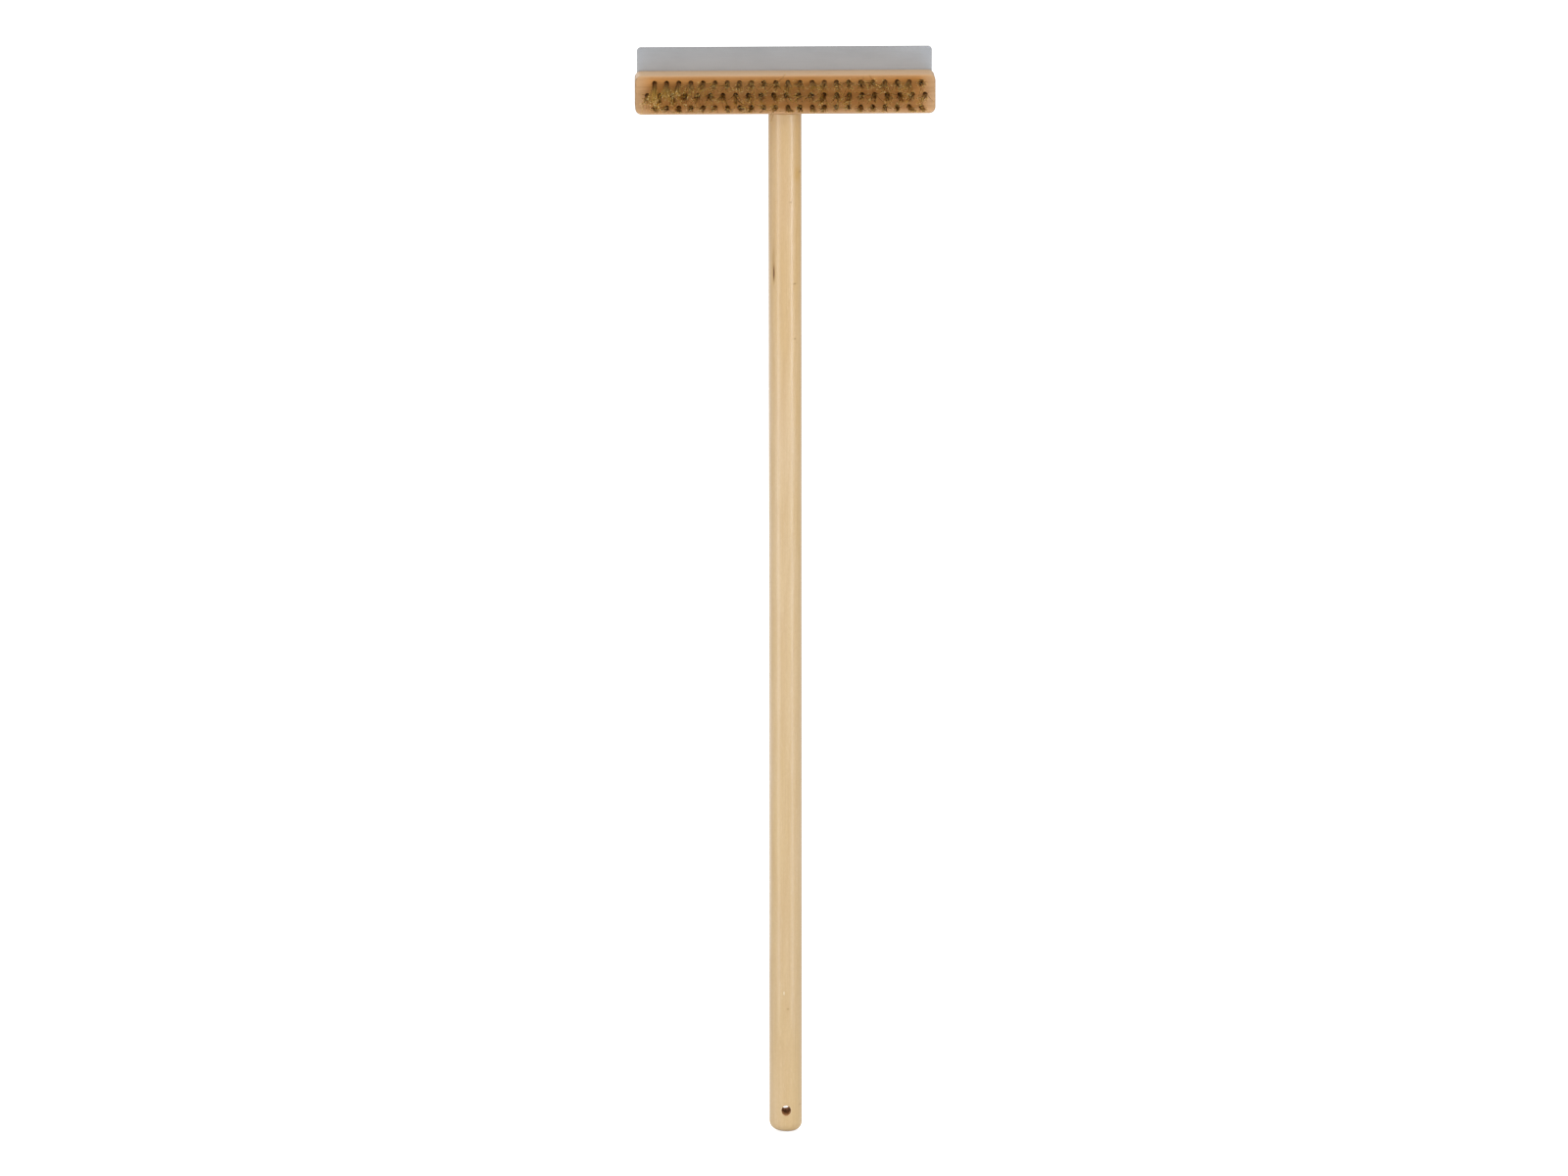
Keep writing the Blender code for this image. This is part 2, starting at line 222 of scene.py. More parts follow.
# painted shade towards the blade's top
BLADE_TOP_SHADE_TINT = (0.92, 0.925, 0.935, 1)
BRASS_TONES = {
    "bright": (0.74, 0.47, 0.095, 1),
    "dull": (0.54, 0.32, 0.050, 1),
    # painted shade near the wires' roots
    "root_shade": (0.185, 0.088, 0.010, 1),
    "tarnish": (0.30, 0.155, 0.02, 1),
    # the wires' cut ends, with a painted glint
    "glinting_cut_end": (0.95, 0.75, 0.36, 1),
}
ZINC_TONES = {
    "light": (0.66, 0.67, 0.68, 1),
    "grey": (0.56, 0.565, 0.56, 1),
    "scratch": (0.40, 0.40, 0.39, 1),
}
DRILLED_HANDLE = ((0.66, 0.38, 0.175, 1), (0.46, 0.25, 0.11, 1))
# painted shade: the block's hole walls are coloured far darker than its wood
DRILLED_BLOCK_SHADE = ((0.20, 0.10, 0.035, 1), (0.12, 0.055, 0.018, 1))

# The handle's pin knots: place, and size as multiples of the usual one
KNOTS = [
    ((0.0045, -0.0133, 0.813), (1.0, 2.0, 0.9)),
    ((0.0126, -0.0061, 0.838), (1.5, 2.0, 1.2)),
    ((0.0080, -0.0115, 0.695), (1.0, 2.0, 0.8)),
    ((0.0079, -0.0116, 0.7425), (1.8, 2.0, 0.8)),
    ((0.0016, -0.0139, 0.1100), (0.8, 2.0, 0.8)),
    ((0.0120, -0.0072, 0.0240), (0.6, 2.0, 0.5)),
    ((-0.0095, 0.0103, 0.560), (1.2, 2.0, 1.0)),
    ((0.0030, 0.0137, 0.318), (1.4, 2.0, 1.1)),
]
KNOT_BULGE = (12 * MM, 16 * MM, 42 * MM)  # how far round a knot the grain bends
KNOT_HALO = 2.4 * MM
KNOT_HEART = 0.9 * MM

# A dark resin streak in three layers, and a pale nick: place, size in mm, tone, share
STREAKS = [
    ((-0.0100, -0.0098, 0.7600), (2.0, 2.4, 24), (0.48, 0.28, 0.09, 1), 0.62),
    ((-0.0096, -0.0102, 0.7515), (1.5, 2.2, 11), (0.42, 0.22, 0.05, 1), 0.70),
    ((-0.0098, -0.0100, 0.7515), (0.8, 1.8, 8), (0.15, 0.055, 0.005, 1), 1.0),
    ((-0.0018, -0.0139, 0.1240), (0.7, 2.0, 2.2), (0.93, 0.82, 0.64, 1), 0.80),
]
SMUDGE_PLACE = (0.0105, -0.0095, 0.8365)
SMUDGE_SIZE = (5 * MM, 8 * MM, 9 * MM)

# Light. A strip is a tall softbox beside the handle: name, turn in degrees, distance, width, height,
# radiance, height of its lower end
STRIP_COLOUR = (0.80, 0.96, 1.16)  # a little cooler than the softboxes
STRIPS = [
    ("left_strip", -50, 0.36, 0.11, 0.85, 3.1, 0.01),
    ("right_strip", 46, 0.36, 0.09, 0.85, 3.8, 0.01),
    ("right_upper_strip", 45, 0.34, 0.08, 0.30, 2.7, 0.58),
    ("left_rim", -140, 0.60, 0.45, 0.66, 0.95, 0.01),
]
# name, place, aim, size, radiance
SOFTBOXES = [
    ("key", (1.4, -2.7, 1.6), (0, 0, 0.6), (1.6, 1.6), 3.25),
    ("fill", (-2.0, -1.9, 1.1), (0, 0, 0.5), (1.4, 1.8), 1.7),
    ("top", (0.3, 0.2, 2.6), (0, 0, 0), (1.6, 1.6), 0.8),
    ("back", (-1.1, 2.6, 1.5), (0, 0, 0.6), (1.6, 1.6), 1.9),
]
WORLD_LIGHT = 0.64
WORLD_SEEN = 1.05  # the background behind the brush

# Floor
FLOOR_HALF = 14.0
FLOOR_DROP = 0.5 * MM
FLOOR_GLOW = 0.70  # seen by the camera only

# Camera
VIEW_DISTANCE = 9.943
VIEW_ELEVATION = math.radians(11.667)
VIEW_TURN = math.radians(1.7)  # the block's left end is a little nearer to the camera
VIEW_AIM = Vector((-0.0011, 0, 0.4766))
VIEW_ROLL = math.radians(0.05)
VIEW_LENS = 267.3


# ---------------------------------------------------------------- small helpers


def new_object(name, mesh, *materials):
    made = bpy.data.objects.new(name, mesh)
    bpy.context.scene.collection.objects.link(made)
    for material in materials:
        mesh.materials.append(material)
    return made


def mesh_of(bm, name):
    mesh = bpy.data.meshes.new(name)
    bm.to_mesh(mesh)
    bm.free()
    return mesh


def settle(piece, angle):
    """Applies the modifiers, removes the cutters and shades the piece smooth up to the angle."""
    cutters = [step.object for step in piece.modifiers if step.type == "BOOLEAN"]
    graph = bpy.context.evaluated_depsgraph_get()
    mesh = bpy.data.meshes.new_from_object(piece.evaluated_get(graph))
    mesh.name = piece.name
    piece.modifiers.clear()
    piece.data = mesh
    for cutter in cutters:
        bpy.data.objects.remove(cutter, do_unlink=True)
    mesh.shade_smooth()
    mesh.set_sharp_from_angle(angle=math.radians(angle))
    return piece


def cut(piece, cutter, wall=None):
    """Cuts a hole whose wall takes the piece's own material, or another one."""
    cutter.hide_render = True
    step = piece.modifiers.new(cutter.name, "BOOLEAN")
    step.operation = "DIFFERENCE"
    step.object = cutter
    if wall:
        cutter.data.materials.append(wall)
        step.material_mode = "TRANSFER"


def arc(centre, radius, start, end, steps):
    """Points (radius, height) of an arc in a turned profile, with angles in degrees."""
    angles = [math.radians(start + (end - start) * i / steps) for i in range(steps + 1)]
    return [(centre[0] + radius * math.cos(a), centre[1] + radius * math.sin(a)) for a in angles]


def turned(bm, profile, sides, place=Matrix.Identity(4)):
    """Adds a closed solid of revolution about local +Z. The profile runs from its top to its bottom."""
    rings = []
    for radius, height in profile:
        if radius < ON_AXIS:
            rings.append([bm.verts.new(place @ Vector((0, 0, height)))])
            continue
        ring = []
        for i in range(sides):
            turn = math.tau * i / sides
            spot = Vector((radius * math.cos(turn), radius * math.sin(turn), height))
            ring.append(bm.verts.new(place @ spot))
        rings.append(ring)
    for upper, lower in zip(rings, rings[1:]):
        for i in range(sides):
            j = (i + 1) % sides
            corners = [upper[i % len(upper)], lower[i % len(lower)]]
            corners += [lower[j % len(lower)], upper[j % len(upper)]]
            bm.faces.new(list(dict.fromkeys(corners)))


def turned_object(name, profile, sides, place=Matrix.Identity(4), *materials):
    bm = bmesh.new()
    turned(bm, profile, sides, place)
    return new_object(name, mesh_of(bm, name), *materials)


def facing(direction):
    """The rotation that turns local +Z to a direction."""
    return Vector((0, 0, 1)).rotation_difference(Vector(direction)).to_matrix().to_4x4()


def plate(name, low, high, corners, *materials):
    """A box whose edges along Y are rounded, with one radius at its low edges and one at its top ones."""
    low, high = Vector(low), Vector(high)
    middle, size = (low + high) / 2, high - low
    bm = bmesh.new()
    bmesh.ops.create_cube(bm, size=1, matrix=Matrix.Translation(middle) @ Matrix.Diagonal((*size, 1)))
    for radius, upper in zip(corners, (False, True)):
        edges = []
        for edge in bm.edges:
            first, second = (end.co for end in edge.verts)
            along_y = abs(first.y - second.y) > size.y / 2
            if along_y and (first.z > middle.z) == upper:
                edges.append(edge)
        bmesh.ops.bevel(bm, geom=edges, offset=radius, segments=CORNER_STEPS, profile=0.5, affect="EDGES")
    return new_object(name, mesh_of(bm, name), *materials)


def soften(piece, width, segments):
    step = piece.modifiers.new("Rim", "BEVEL")
    step.width = width
    step.segments = segments
    step.limit_method = "ANGLE"
    step.angle_limit = RIM_ANGLE


# ---------------------------------------------------------------- materials


class Shader:
    """Builds a node material with short calls. A socket is linked, and anything else is set as a value."""

    def __init__(self, name):
        self.material = bpy.data.materials.new(name)
        self.material.use_nodes = True
        self.tree = self.material.node_tree
        self.surface = self.tree.nodes["Principled BSDF"]
        self.place = self.node("ShaderNodeTexCoord").outputs["Object"]

    def node(self, kind, inputs=None, **settings):
        made = self.tree.nodes.new(kind)
        for key, value in settings.items():
            setattr(made, key, value)
        for key, value in (inputs or {}).items():
            self.set(made.inputs[key], value)
        return made

    def set(self, socket, value):
        if isinstance(value, bpy.types.NodeSocket):
            self.tree.links.new(value, socket)
        else:
            socket.default_value = value

    def math(self, operation, first, second=0.0):
        return self.node("ShaderNodeMath", {0: first, 1: second}, operation=operation).outputs[0]

    def times(self, first, second):
        return self.math("MULTIPLY", first, second)

    def plus(self, first, second):
        return self.math("ADD", first, second)

    def minus(self, first, second):
        return self.math("SUBTRACT", first, second)

    def axes(self, vector):
        return self.node("ShaderNodeSeparateXYZ", {0: vector}).outputs

    def normal(self):
        return self.axes(self.node("ShaderNodeNewGeometry").outputs["Normal"])

    def stretched(self, scale, offset=(0, 0, 0)):
        """The object's own coordinates, scaled so that a pattern is drawn out along one axis."""
        inputs = {"Vector": self.place, "Scale": scale, "Location": offset}
        return self.node("ShaderNodeMapping", inputs).outputs[0]

    def noise(self, vector, detail, roughness=0.55):
        inputs = {"Vector": vector, "Scale": 1.0, "Detail": detail, "Roughness": roughness}
        return self.node("ShaderNodeTexNoise", inputs).outputs["Fac"]

    def span(self, value, low, high, to_low=0.0, to_high=1.0):
        """A value's range mapped to another and clamped."""
        inputs = {"Value": value, "From Min": low, "From Max": high, "To Min": to_low, "To Max": to_high}
        return self.node("ShaderNodeMapRange", inputs).outputs[0]

    def mix(self, share, first, second, blend="MIX"):
        made = self.node("ShaderNodeMix", data_type="RGBA", blend_type=blend)
        self.set(made.inputs["Factor"], share)
        self.set(made.inputs[6], first)
        self.set(made.inputs[7], second)
        return made.outputs[2]

    def tint(self, share, colour, tint):
        return self.mix(share, colour, tint, "MULTIPLY")

    def spot(self, centre, size, soft=0.0):
        """1 inside an ellipsoid about a point, falling to 0 at its edge."""
        away = self.node("ShaderNodeVectorMath", {0: self.place, 1: centre}, operation="SUBTRACT").outputs[0]
        scale = [1 / reach for reach in size]
        shape = self.node("ShaderNodeVectorMath", {0: away, 1: scale}, operation="MULTIPLY").outputs[0]
        length = self.node("ShaderNodeVectorMath", {0: shape}, operation="LENGTH").outputs["Value"]
        return self.span(length, soft, 1.0, 1.0, 0.0)

    def finish(self, colour, roughness, metallic=0.0, bump=None, strength=0.1, distance=0.0002, **fixed):
        self.set(self.surface.inputs["Base Color"], colour)
        self.set(self.surface.inputs["Roughness"], roughness)
        self.surface.inputs["Metallic"].default_value = metallic
        for name, value in fixed.items():
            self.set(self.surface.inputs[name.replace("_", " ")], value)
        if bump is not None:
            inputs = {"Height": bump, "Strength": strength, "Distance": distance}
            made = self.node("ShaderNodeBump", inputs)
            self.set(self.surface.inputs["Normal"], made.outputs[0])
        return self.material


def wood_figure(shader, along, pith, ring, drift, bulge=0.0):
    """Growth rings about a pith that lies outside the piece, from 0 to 1. A bulge bends them round a knot."""
    slow = [3.0 if axis == along else 34.0 for axis in range(3)]
    waver = shader.noise(shader.stretched(slow), 2.0, 0.5)
    place = shader.axes(shader.place)
    across = [place[axis] for axis in range(3) if axis != along]
    squares = []
    for value, centre in zip(across, pith):
        shifted = shader.minus(value, centre)
        squares.append(shader.times(shifted, shifted))
    radius = shader.math("SQRT", shader.plus(*squares))
    taper = shader.times(place[along], 0.014)
    radius = shader.plus(radius, taper)
    radius = shader.plus(radius, shader.times(bulge, 1.8 * MM))
    radius = shader.plus(radius, shader.times(waver, drift))
    turns = shader.math("FRACT", shader.math("DIVIDE", radius, ring))
    return shader.times(turns, shader.span(turns, 0.80, 1.0, 1.0, 0.0))


def handle_grain(shader):
    """The handle's plain wood: its colour, and the noises that its tones and its bump follow."""
    bulge = 0.0
    for place, size in KNOTS:
        around = shader.spot(place, (KNOT_BULGE[0], KNOT_BULGE[1], KNOT_BULGE[2] * size[2]))
        bulge = shader.math("MAXIMUM", bulge, around)
    rings = wood_figure(shader, 2, (0.011, 0.034), 2.6 * MM, 11 * MM, bulge)
    late = shader.math("POWER", rings, 1.8)
    fibres = shader.noise(shader.stretched((1500, 1500, 16)), 6.0, 0.6)
    strands = shader.noise(shader.stretched((420, 420, 5), (3, 1, 0)), 3.0)
    clouds = shader.noise(shader.stretched((60, 60, 9), (0, 5, 2)), 3.0, 0.5)
    mottle = shader.noise(shader.stretched((520, 520, 330)), 3.0, 0.6)
    flecks = shader.noise(shader.stretched((700, 700, 140), (2, 8, 1)), 2.0, 0.5)
    tones = HANDLE_TONES
    colour = shader.mix(shader.span(clouds, 0.32, 0.68), tones["pale"], tones["warm"])
    colour = shader.mix(shader.times(late, 0.42), colour, tones["late_wood"])
    colour = shader.mix(shader.span(strands, 0.52, 0.75, 0.0, 0.35), colour, tones["strand"])
    colour = shader.mix(shader.span(fibres, 0.50, 0.72, 0.0, 0.30), colour, tones["fibre"])
    colour = shader.mix(shader.span(mottle, 0.35, 0.60, 0.22, 0.0), colour, tones["mottle"])
    colour = shader.mix(shader.span(flecks, 0.58, 0.78, 0.0, 0.22), colour, tones["fleck"])
    return colour, fibres, strands, clouds


def golden_end(shader, colour, x, z, clouds):
    """The head end is more golden, most of all along one side and in a smudge beside a knot."""
    waver = shader.times(shader.minus(clouds, 0.5), 0.2)
    golden = shader.span(shader.plus(z, waver), 0.52, 0.80)
    colour = shader.tint(golden, colour, HANDLE_TINTS["head_end"])
    one_side = shader.span(shader.plus(x, shader.times(waver, 0.03)), 5.5 * MM, 9 * MM)
    one_side = shader.times(one_side, shader.times(golden, 0.9))
    colour = shader.tint(one_side, colour, HANDLE_TINTS["golden_side"])
    smudge = shader.spot(SMUDGE_PLACE, SMUDGE_SIZE, 0.2)
    return shader.tint(shader.times(smudge, 0.8), colour, HANDLE_TINTS["smudge"])


def knots_and_streaks(shader, colour):
    """Pin knots, with a few on the side that faces away, a dark resin streak and a nick."""
    for place, size in KNOTS:
        halo = shader.spot(place, [KNOT_HALO * share for share in size])
        colour = shader.mix(shader.times(halo, 0.45), colour, HANDLE_TONES["knot_halo"])
        heart = shader.spot(place, [KNOT_HEART * share for share in size])
        colour = shader.mix(shader.times(heart, 0.75), colour, HANDLE_TONES["knot_heart"])
    for place, size, tone, share in STREAKS:
        mark = shader.spot(place, [reach * MM for reach in size], 0.35)
        colour = shader.mix(shader.times(mark, share), colour, tone)
    return colour


def hole_lip_highlight(shader, x, z, hole):
    """1 in a painted highlight: a pale ring on the rounded lip round the hanging hole."""
    up = shader.minus(z, hole)
    away = shader.plus(shader.math("POWER", x, 2.0), shader.math("POWER", up, 2.0))
    away = shader.math("SQRT", away)
    return shader.span(away, HANGING_HOLE_RADIUS + 0.3 * MM, HANGING_HOLE_RADIUS + 0.9 * MM, 0.5, 0.0)


def make_handle_wood(hole):
    shader = Shader("pale_handle_wood")
    x, _, z = shader.axes(shader.place)
    colour, fibres, strands, clouds = handle_grain(shader)
    colour = golden_end(shader, colour, x, z, clouds)
    colour = knots_and_streaks(shader, colour)
    grip_end = shader.span(z, 0.11, 0.03)
    colour = shader.tint(grip_end, colour, HANDLE_TINTS["grip_end"])
    downward = shader.times(shader.normal()[2], -1.0)
    end_grain = shader.span(downward, 0.75, 0.97, 0.0, 0.5)
    colour = shader.mix(end_grain, colour, HANDLE_TONES["end_grain"])
    colour = shader.mix(hole_lip_highlight(shader, x, z, hole), colour, HANDLE_TONES["hole_lip_highlight"])
    roughness = shader.plus(shader.span(fibres, 0.3, 0.7, 0.40, 0.52), shader.times(end_grain, 0.4))
    relief = shader.plus(fibres, shader.times(strands, 0.5))
    lacquer = {"Coat_Weight": 0.34, "Coat_Roughness": 0.14}
    return shader.finish(colour, roughness, bump=relief, strength=0.12, distance=0.00012, **lacquer)


def make_drilled_wood(name, pale, dark):
    """Rough wood on the wall of a drilled hole, in the two colours given; the block's are so dark that they
    are painted shade.
    """
    shader = Shader(name)
    torn = shader.noise(shader.stretched((900, 900, 900)), 4.0, 0.6)
    rings = shader.noise(shader.stretched((200, 2600, 200), (3, 0, 2)), 2.0, 0.5)
    colour = shader.mix(shader.span(torn, 0.35, 0.65), pale, dark)
    colour = shader.mix(shader.span(rings, 0.5, 0.7, 0.0, 0.5), colour, dark)
    relief = shader.plus(torn, rings)
    return shader.finish(colour, 0.9, bump=relief, strength=0.3, distance=0.0002, Specular_IOR_Level=0.06)


def block_grain(shader):
    """The block's plain wood: its colour, and the noises that its marks and its bump follow."""
    rings = wood_figure(shader, 0, (-0.030, 0.965), 4.2 * MM, 14 * MM)
    late = shader.math("POWER", rings, 2.2)
    fibres = shader.noise(shader.stretched((20, 1500, 1500)), 6.0, 0.62)
    pores = shader.noise(shader.stretched((170, 3600, 3600), (1, 0, 4)), 2.0, 0.5)
    strands = shader.noise(shader.stretched((7, 360, 360), (2, 6, 0)), 3.0)
    clouds = shader.noise(shader.stretched((16, 70, 70)), 3.0, 0.5)
    tones = BLOCK_TONES
    colour = shader.mix(shader.span(clouds, 0.3, 0.7), tones["pale"], tones["warm"])
    colour = shader.mix(shader.times(late, 0.40), colour, tones["late_wood"])
    colour = shader.mix(shader.span(strands, 0.5, 0.75, 0.0, 0.45), colour, tones["strand"])
    colour = shader.mix(shader.span(fibres, 0.5, 0.72, 0.0, 0.45), colour, tones["fibre"])
    colour = shader.mix(shader.span(pores, 0.60, 0.72, 0.0, 0.50), colour, tones["pore"])
    return colour, late, fibres, pores, clouds


def painted_tuft_shade(shader, rows, front, clouds):
    """1 on the front face between the tufts, where painted shade of the wires and a painted warm reflection
    of the brass darken the wood.
    """
    x, y, z = shader.axes(shader.place)
    low, high = rows
    middle = (low + high) / 2 + 1.2 * MM
    half = (high - low) / 2
    upright = shader.math("ABSOLUTE", shader.minus(z, middle))
    shade_share = shader.span(upright, half + 1.5 * MM, half + 6.5 * MM, 1.0, 0.12)
    sideways = shader.span(shader.math("ABSOLUTE", x), 0.113, 0.124, 1.0, 0.2)
    shade_share = shader.times(shade_share, sideways)
    shade_share = shader.times(shade_share, shader.span(y, front + 1 * MM, front + 4 * MM, 1.0, 0.0))
    return shader.times(shade_share, shader.span(clouds, 0.2, 0.7, 0.75, 1.0))


def make_block_wood(rows, front):
    shader = Shader("block_wood")
    colour, late, fibres, pores, clouds = block_grain(shader)
    # painted shade: the face between the tufts is darkened and warmed, standing in for the wires' shade and
    # their reflected brass colour
    colour = shader.tint(painted_tuft_shade(shader, rows, front, clouds), colour, BLOCK_TINTS["tuft_shade"])
    normal = shader.normal()
    end_grain = shader.span(shader.math("ABSOLUTE", normal[0]), 0.3, 0.9)
    colour = shader.mix(shader.times(end_grain, 0.5), colour, BLOCK_TONES["end_grain"])
    bands = shader.times(end_grain, shader.times(late, 0.55))
    colour = shader.mix(bands, colour, BLOCK_TONES["end_band"])
    cells = shader.noise(shader.stretched((900, 2400, 2400), (6, 3, 0)), 3.0, 0.6)
    cells = shader.times(end_grain, shader.span(cells, 0.52, 0.68, 0.0, 0.5))
    colour = shader.mix(cells, colour, BLOCK_TONES["end_cell"])
    z = shader.axes(shader.place)[2]
    # painted light: the colour is made lighter along the face's lower margin, against the shade that the
    # tufts cast there
    lower_edge_light = shader.span(z, rows[0] - 0.5 * MM, rows[0] - 4.0 * MM)
    colour = shader.tint(lower_edge_light, colour, BLOCK_TINTS["lower_edge_light"])
    # painted shade: faces that look down are darkened
    underside_shade = shader.span(shader.times(normal[2], -1.0), 0.3, 0.9, 0.0, 0.4)
    colour = shader.mix(underside_shade, colour, BLOCK_TONES["underside_shade"])
    # painted sheen: faces that look up are made lighter and greyer, as if catching the light from above
    upper_side_sheen = shader.span(normal[2], 0.3, 0.9, 0.0, 0.5)
    colour = shader.mix(upper_side_sheen, colour, BLOCK_TONES["upper_side_sheen"])
    roughness = shader.span(fibres, 0.3, 0.7, 0.50, 0.62)
    relief = shader.plus(fibres, shader.times(pores, -0.6))
    return shader.finish(
        colour, roughness, bump=relief, strength=0.18, distance=0.00015, Specular_IOR_Level=0.35
    )


def make_blade_steel(top):
    shader = Shader("rolled_blade_steel")
    rolled = shader.noise(shader.stretched((60, 500, 1500)), 5.0, 0.6)
    smudge = shader.noise(shader.stretched((26, 26, 60), (4, 0, 1)), 4.0, 0.6)
    fine = shader.noise(shader.stretched((1400, 1400, 1400)), 3.0, 0.6)
    specks = shader.noise(shader.stretched((700, 700, 900), (7, 0, 3)), 2.0, 0.5)
    tones = BLADE_TONES
    colour = shader.mix(shader.span(rolled, 0.35, 0.65), tones["dark"], tones["light"])
    colour = shader.mix(shader.span(smudge, 0.50, 0.75, 0.0, 0.22), colour, tones["smudge"])
    colour = shader.mix(shader.span(specks, 0.70, 0.78, 0.0, 0.35), colour, tones["speck"])
    # painted shade: darker towards the top, evening out the shade that the block and the tufts cast on the
    # lower part, with a dark line along the edge itself
    z = shader.axes(shader.place)[2]
    top_shade = shader.span(shader.plus(z, shader.times(smudge, 6 * MM)), top - 16 * MM, top + 3 * MM)
    colour = shader.tint(top_shade, colour, BLADE_TOP_SHADE_TINT)
    edge = shader.span(z, top - 0.7 * MM, top - 0.3 * MM, 0.0, 0.5)
    colour = shader.mix(edge, colour, tones["edge"])
    roughness = shader.plus(shader.span(smudge, 0.3, 0.7, 0.60, 0.68), shader.times(fine, 0.05))
    relief = shader.plus(rolled, shader.times(fine, 0.5))
    return shader.finish(colour, roughness, 0.35, relief, 0.10, 0.00008)


def make_brass(front, tips, lowest_row):
    shader = Shader("crimped_brass_wire")
    tone = shader.noise(shader.stretched((420, 160, 420)), 3.0, 0.6)
    fine = shader.noise(shader.stretched((2600, 600, 2600), (1, 2, 3)), 3.0, 0.6)
    _, y, z = shader.axes(shader.place)
    # painted shade: the wires darken towards their roots in the block
    root_shade = shader.span(y, front - 24 * MM, front - 6 * MM)
    # the painted root shade is weaker on the lowest row, which is lit almost down to its roots
    open_side = shader.span(z, lowest_row + 5 * MM, lowest_row + 1 * MM, 1.0, 0.45)
    root_shade = shader.times(root_shade, open_side)
    # the cut ends of the wires are brighter, with a painted glint on about half of the tips
    glinting_cut_end = shader.span(y, tips + 3.6 * MM, tips + 2.2 * MM)
    glinting = shader.span(shader.noise(shader.stretched((900, 10, 900), (5, 0, 2)), 1.0), 0.46, 0.56)
    glinting_cut_end = shader.times(glinting_cut_end, glinting)
    tones = BRASS_TONES
    colour = shader.mix(shader.span(tone, 0.35, 0.65), tones["bright"], tones["dull"])
    colour = shader.mix(root_shade, colour, tones["root_shade"])
    colour = shader.mix(shader.span(fine, 0.55, 0.75, 0.0, 0.5), colour, tones["tarnish"])
    colour = shader.mix(glinting_cut_end, colour, tones["glinting_cut_end"])
    roughness = shader.span(tone, 0.3, 0.7, 0.26, 0.42)
    return shader.finish(colour, roughness, 1.0)


def make_zinc():
    shader = Shader("zinc_plated_steel")
    patches = shader.noise(shader.stretched((900, 900, 900)), 3.0, 0.6)
    scratches = shader.noise(shader.stretched((300, 4000, 4000)), 4.0, 0.6)
    colour = shader.mix(shader.span(patches, 0.35, 0.65), ZINC_TONES["light"], ZINC_TONES["grey"])
    colour = shader.mix(shader.span(scratches, 0.6, 0.75, 0.0, 0.4), colour, ZINC_TONES["scratch"])
    roughness = shader.span(patches, 0.3, 0.7, 0.22, 0.36)
    return shader.finish(colour, roughness, 1.0, scratches, 0.08, 0.00005)


# ---------------------------------------------------------------- pieces


def stand_for(piece, node):
    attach(piece, "root")
    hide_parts(node)


def handle_profile(low, high, radius):
    """(radius, height) from the tenon's top down to the middle of the butt."""
    shoulder = high.z - TENON_LENGTH
    profile = [(0, high.z), (TENON_RADIUS - EASE, high.z), (TENON_RADIUS, high.z - EASE)]
    profile += [(TENON_RADIUS, shoulder), (radius - EASE, shoulder), (radius, shoulder - EASE)]
    bottom = low.z + BUTT_ROUND
    for i in range(1, HANDLE_RINGS):
        profile.append((radius, shoulder + (bottom - shoulder) * i / HANDLE_RINGS))
    profile += arc((radius - BUTT_ROUND, bottom), BUTT_ROUND, 0, -90, BUTT_STEPS)
    return profile + [(0, low.z)]


def hanging_hole_profile(radius):
    """A hole right through the handle, whose two mouths are rounded over."""
    reach = 2 * radius
    flare = HANGING_HOLE_RADIUS + LIP_RADIUS
    hole = [(0, reach), (flare, reach), (flare, radius + COUNTERSINK)]
    hole += arc((flare, radius - LIP_DEPTH), LIP_RADIUS, 90, 180, LIP_STEPS)
    hole += [(value, -height) for value, height in reversed(hole[2:])]
    return hole + [(flare, -reach), (0, -reach)]


def make_handle(material, hole_wall):
    low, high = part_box("handle")
    radius = (high.x - low.x) / 2
    profile = handle_profile(low, high, radius)
    handle = turned_object("handle_wood", profile, HANDLE_SIDES, Matrix.Identity(4), material)
    for vertex in handle.data.vertices:
        share = max(0.0, 1 - vertex.co.z / BUTT_SLANT_REACH)
        vertex.co.z += (radius - BUTT_ROUND - vertex.co.x) * math.tan(BUTT_SLANT) * share**2
    place = Matrix.Translation((0, 0, low.z + HANGING_HOLE_HEIGHT)) @ facing((0, -1, 0))
    hole = hanging_hole_profile(radius)
    cut(handle, turned_object("hanging_hole_cutter", hole, HANGING_HOLE_SIDES, place), hole_wall)
    screw_low, screw_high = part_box("handle_screw")
    end = screw_low.y - GAP - PILOT_START
    pilot = [(0, 0), (SCREW_HOLE_RADIUS, 0), (SCREW_HOLE_RADIUS, end), (0, end)]
    place = Matrix.Translation((0, PILOT_START, (screw_low.z + screw_high.z) / 2)) @ facing((0, 1, 0))
    cut(handle, turned_object("pilot_cutter", pilot, SCREW_HOLE_SIDES, place), hole_wall)
    stand_for(settle(handle, ROUND_SMOOTH), "handle")


def tuft_roots(node):
    """(x, z) of the column's three holes, from the lowest up, found from the ends of its roots."""
    low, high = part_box(node)
    ends = [v.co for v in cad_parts[node].data.vertices if v.co.y > high.y - ROOT_END]
    row = (high.z - low.z) / 3
    found = []
    for i in range(3):
        group = [co for co in ends if low.z + row * i <= co.z <= low.z + row * (i + 1)]
        found.append((sum(co.x for co in group) / len(group), sum(co.z for co in group) / len(group)))
    return found


def backward_at(node):
    """A place on a screw's axis, level with the outside of its head, with local +Z out of the back."""
    low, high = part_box(node)
    spot = ((low.x + high.x) / 2, high.y, (low.z + high.z) / 2)
    return Matrix.Translation(spot) @ facing((0, 1, 0))


